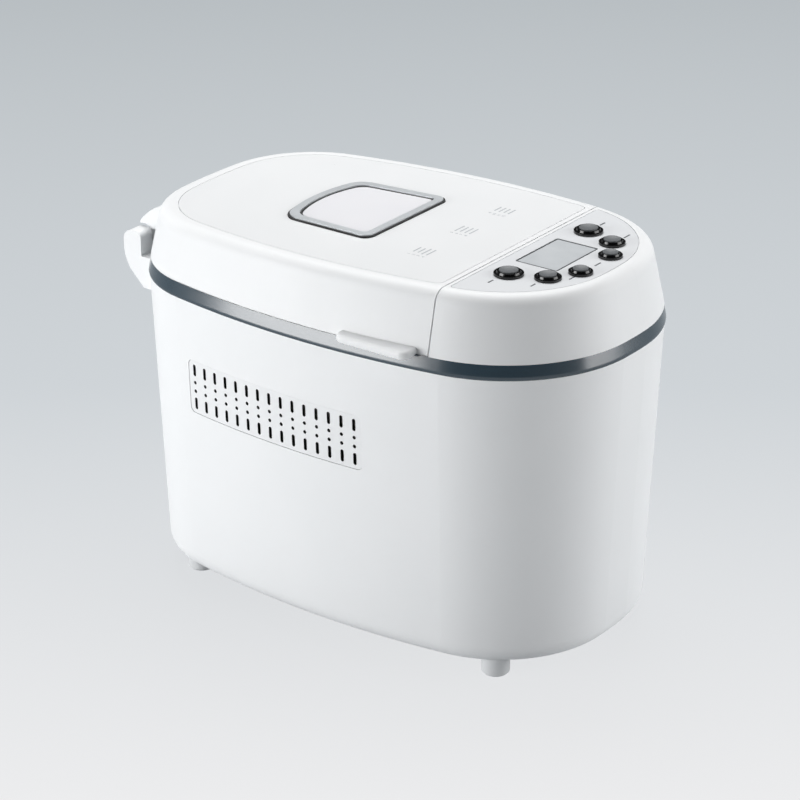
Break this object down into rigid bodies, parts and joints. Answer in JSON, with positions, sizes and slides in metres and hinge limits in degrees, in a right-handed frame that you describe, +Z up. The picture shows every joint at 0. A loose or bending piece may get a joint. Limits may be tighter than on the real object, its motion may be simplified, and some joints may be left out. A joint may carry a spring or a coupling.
{
  "type": "bread machine",
  "caption": "Countertop bread machine with an oval housing, a windowed lid hinged at the rear, a control head at the front, and a lift-out pan with a belt-driven paddle.",
  "frame": {"origin": "on the floor under the middle of the overall box", "axes": "+Z up, -Y to the control head at the front, +Y to the lid hinge at the rear, -X to the side that the picture shows"},
  "size_m": [0.228, 0.375, 0.2675],
  "materials": {
    "shell_white": "moulded, fine satin",
    "panel_white": "moulded, satin gloss",
    "band_blue": "metallic satin lacquer",
    "grille_white": "moulded, perforated",
    "frame_grey": "satin",
    "gasket_black": "moulded",
    "clear_glass": "polished",
    "display_grey": "reflective liquid crystal",
    "button_black": "gloss",
    "cap_grey": "satin",
    "foot_rubber": "moulded",
    "base_grey": "moulded",
    "oven_steel": "drawn sheet",
    "heater_steel": "heat-darkened",
    "pan_coating": "non-stick coating",
    "bright_steel": "drawn wire and turned bar",
    "cast_aluminium": "cast",
    "bearing_brass": "turned",
    "pulley_black": "moulded",
    "belt_rubber": "moulded",
    "motor_steel": "laminated stack",
    "board_green": "laminate"
  },
  "bodies": {
    "housing": {"body_shell": "shell_white", "control_head": "shell_white", "hinge_bracket": "shell_white", "control_fascia": "panel_white", "trim_band": "band_blue", "vent_grille_left": "grille_white", "vent_grille_right": "grille_white", "display_lens": "clear_glass", "display_module": "display_grey", "button_bezels": "button_black", "foot_front_left": "foot_rubber", "foot_front_right": "foot_rubber", "foot_rear_left": "foot_rubber", "foot_rear_right": "foot_rubber", "cord_gland": "foot_rubber", "base_plate": "base_grey", "top_deck": "base_grey", "oven_chamber": "oven_steel", "chassis_plate": "oven_steel", "pan_seat": "oven_steel", "temperature_sensor": "oven_steel", "bearing_housing": "oven_steel", "heater_element": "heater_steel", "hinge_pin": "bright_steel", "chassis_screws": "bright_steel", "motor_screws": "bright_steel", "motor_capacitor": "cast_aluminium", "tact_switches": "pulley_black", "drive_belt": "belt_rubber", "drive_motor": "motor_steel", "power_board": "board_green", "control_board": "board_green"},
    "lid": {"lid_shell": "shell_white", "lid_panel": "panel_white", "window_frame": "frame_grey", "window_gasket": "gasket_black", "window_glass": "clear_glass", "lid_liner": "oven_steel", "inner_glass": "clear_glass", "lid_hinge_knuckle": "shell_white", "liner_screws": "bright_steel"},
    "drive": {"drive_shaft": "bright_steel", "large_pulley": "pulley_black", "drive_coupling": "cast_aluminium"},
    "motor_rotor": {"motor_shaft": "bright_steel", "motor_pulley": "pulley_black"},
    "pan": {"bread_pan": "pan_coating", "pan_bearing": "bearing_brass", "pan_base_ring": "cast_aluminium"},
    "paddle": {"kneading_paddle": "pan_coating", "pan_shaft": "bright_steel"},
    "bail": {"pan_handle": "bright_steel"},
    "key_outer_left": {"button_outer_left": "cap_grey"},
    "key_outer_right": {"button_outer_right": "cap_grey"},
    "key_middle_left": {"button_middle_left": "cap_grey"},
    "key_middle_right": {"button_middle_right": "cap_grey"},
    "key_inner_left": {"button_inner_left": "cap_grey"},
    "key_inner_right": {"button_inner_right": "cap_grey"}
  },
  "joints": [
    {"name": "lid_hinge", "type": "hinge", "parent": "housing", "child": "lid", "pos_m": [0, 0.18015, 0.2145], "axis": [-1, 0, 0], "range_deg": [0, 95]},
    {"name": "pan_lift", "type": "slide", "parent": "housing", "child": "pan", "axis": [0, 0, 1], "range_m": [0, 0.014]},
    {"name": "bail_swing", "type": "hinge", "parent": "pan", "child": "bail", "pos_m": [0, 0.02115, 0.2087], "axis": [0, -1, 0], "range_deg": [0, 15]},
    {"name": "drive_spin", "type": "hinge", "parent": "housing", "child": "drive", "pos_m": [0, 0.02115, 0.05], "axis": [0, 0, 1], "continuous": true},
    {"name": "paddle_spin", "type": "hinge", "parent": "pan", "child": "paddle", "pos_m": [0, 0.02115, 0.09], "axis": [0, 0, 1], "continuous": true},
    {"name": "motor_spin", "type": "hinge", "parent": "housing", "child": "motor_rotor", "pos_m": [0, -0.11585, 0.05], "axis": [0, 0, 1], "continuous": true},
    {"name": "key_outer_left_press", "type": "slide", "parent": "housing", "child": "key_outer_left", "axis": [0, 0, -1], "range_m": [0, 0.0012], "stiffness_N_per_m": 200},
    {"name": "key_outer_right_press", "type": "slide", "parent": "housing", "child": "key_outer_right", "axis": [0, 0, -1], "range_m": [0, 0.0012], "stiffness_N_per_m": 200},
    {"name": "key_middle_left_press", "type": "slide", "parent": "housing", "child": "key_middle_left", "axis": [0, 0, -1], "range_m": [0, 0.0012], "stiffness_N_per_m": 200},
    {"name": "key_middle_right_press", "type": "slide", "parent": "housing", "child": "key_middle_right", "axis": [0, 0, -1], "range_m": [0, 0.0012], "stiffness_N_per_m": 200},
    {"name": "key_inner_left_press", "type": "slide", "parent": "housing", "child": "key_inner_left", "axis": [0, 0, -1], "range_m": [0, 0.0012], "stiffness_N_per_m": 200},
    {"name": "key_inner_right_press", "type": "slide", "parent": "housing", "child": "key_inner_right", "axis": [0, 0, -1], "range_m": [0, 0.0012], "stiffness_N_per_m": 200}
  ],
  "couplings": [
    {"joint": "paddle_spin", "follows": "drive_spin", "ratio": 1},
    {"joint": "motor_spin", "follows": "drive_spin", "ratio": 5.7778}
  ]
}
